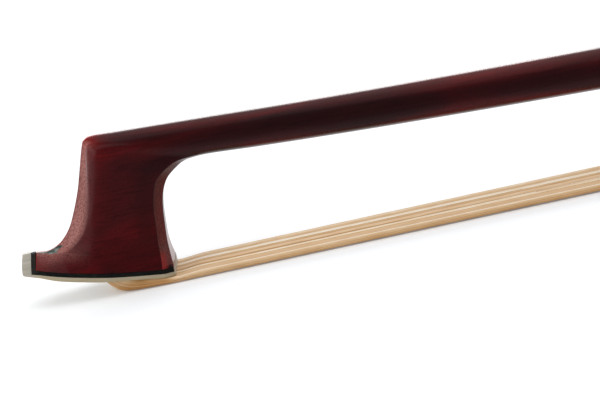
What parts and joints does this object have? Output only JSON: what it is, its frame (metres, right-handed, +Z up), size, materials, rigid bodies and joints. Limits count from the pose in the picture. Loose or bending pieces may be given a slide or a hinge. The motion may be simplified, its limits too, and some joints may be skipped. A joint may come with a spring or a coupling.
{
  "type": "violin bow",
  "caption": "Violin bow: cambered wooden stick with a carved head, flat ribbon of hair, ebony frog drawn by a screw in the button.",
  "frame": {"origin": "on the table, under the middle of the bow's box, between head and button", "axes": "+X from the head to the button, +Y across, +Z up from the hair to the stick"},
  "size_m": [0.7455, 0.013, 0.0297],
  "materials": {
    "red_wood": "polished red-brown hardwood, darker in its pores",
    "ebony": "polished black wood",
    "ivory": "warm grey ivory substitute, satin",
    "horsehair": "blond horse hair, rosined",
    "nickel_silver": "polished nickel silver",
    "pearl": "mother-of-pearl",
    "brass": "plain brass",
    "steel": "turned steel",
    "silver_wire": "wound silver wire",
    "grip_leather": "dark grained leather",
    "maple": "plain cut hardwood"
  },
  "bodies": {
    "stick": {"stick": "red_wood", "tip_liner": "ebony", "tip_plate": "ivory", "tip_plug": "maple", "tip_hair_knot": "horsehair", "hair_ribbon": "horsehair", "lapping": "silver_wire", "thumb_leather": "grip_leather"},
    "frog": {"frog_body": "ebony", "frog_liner": "nickel_silver", "liner_screw_front": "nickel_silver", "liner_screw_rear": "nickel_silver", "eyelet": "brass", "ferrule": "nickel_silver", "ferrule_wedge": "maple", "frog_plug": "maple", "frog_hair_knot": "horsehair", "pearl_slide": "pearl", "slide_backing": "ebony", "heel_plate": "nickel_silver", "heel_pin_low": "nickel_silver", "heel_pin_high": "nickel_silver", "eye_ring_left": "nickel_silver", "eye_ring_right": "nickel_silver", "eye_pearl_left": "pearl", "eye_pearl_right": "pearl"},
    "screw": {"screw": "steel", "button_core": "ebony", "button_front_ring": "nickel_silver", "button_rear_cap": "nickel_silver", "button_pearl": "pearl"}
  },
  "joints": [
    {"name": "screw_turn", "type": "hinge", "parent": "stick", "child": "screw", "pos_m": [0.19298, 0, 0.0172], "axis": [-0.999, 0, -0.0454], "range_deg": [-2701, 676]},
    {"name": "frog_slide", "type": "slide", "parent": "stick", "child": "frog", "axis": [0.999, 0, 0.0454], "range_m": [-0.006, 0.0015], "deforming": ["hair_ribbon"]}
  ],
  "couplings": [
    {"joint": "screw_turn", "follows": "frog_slide", "rad_per_m": 7854}
  ]
}
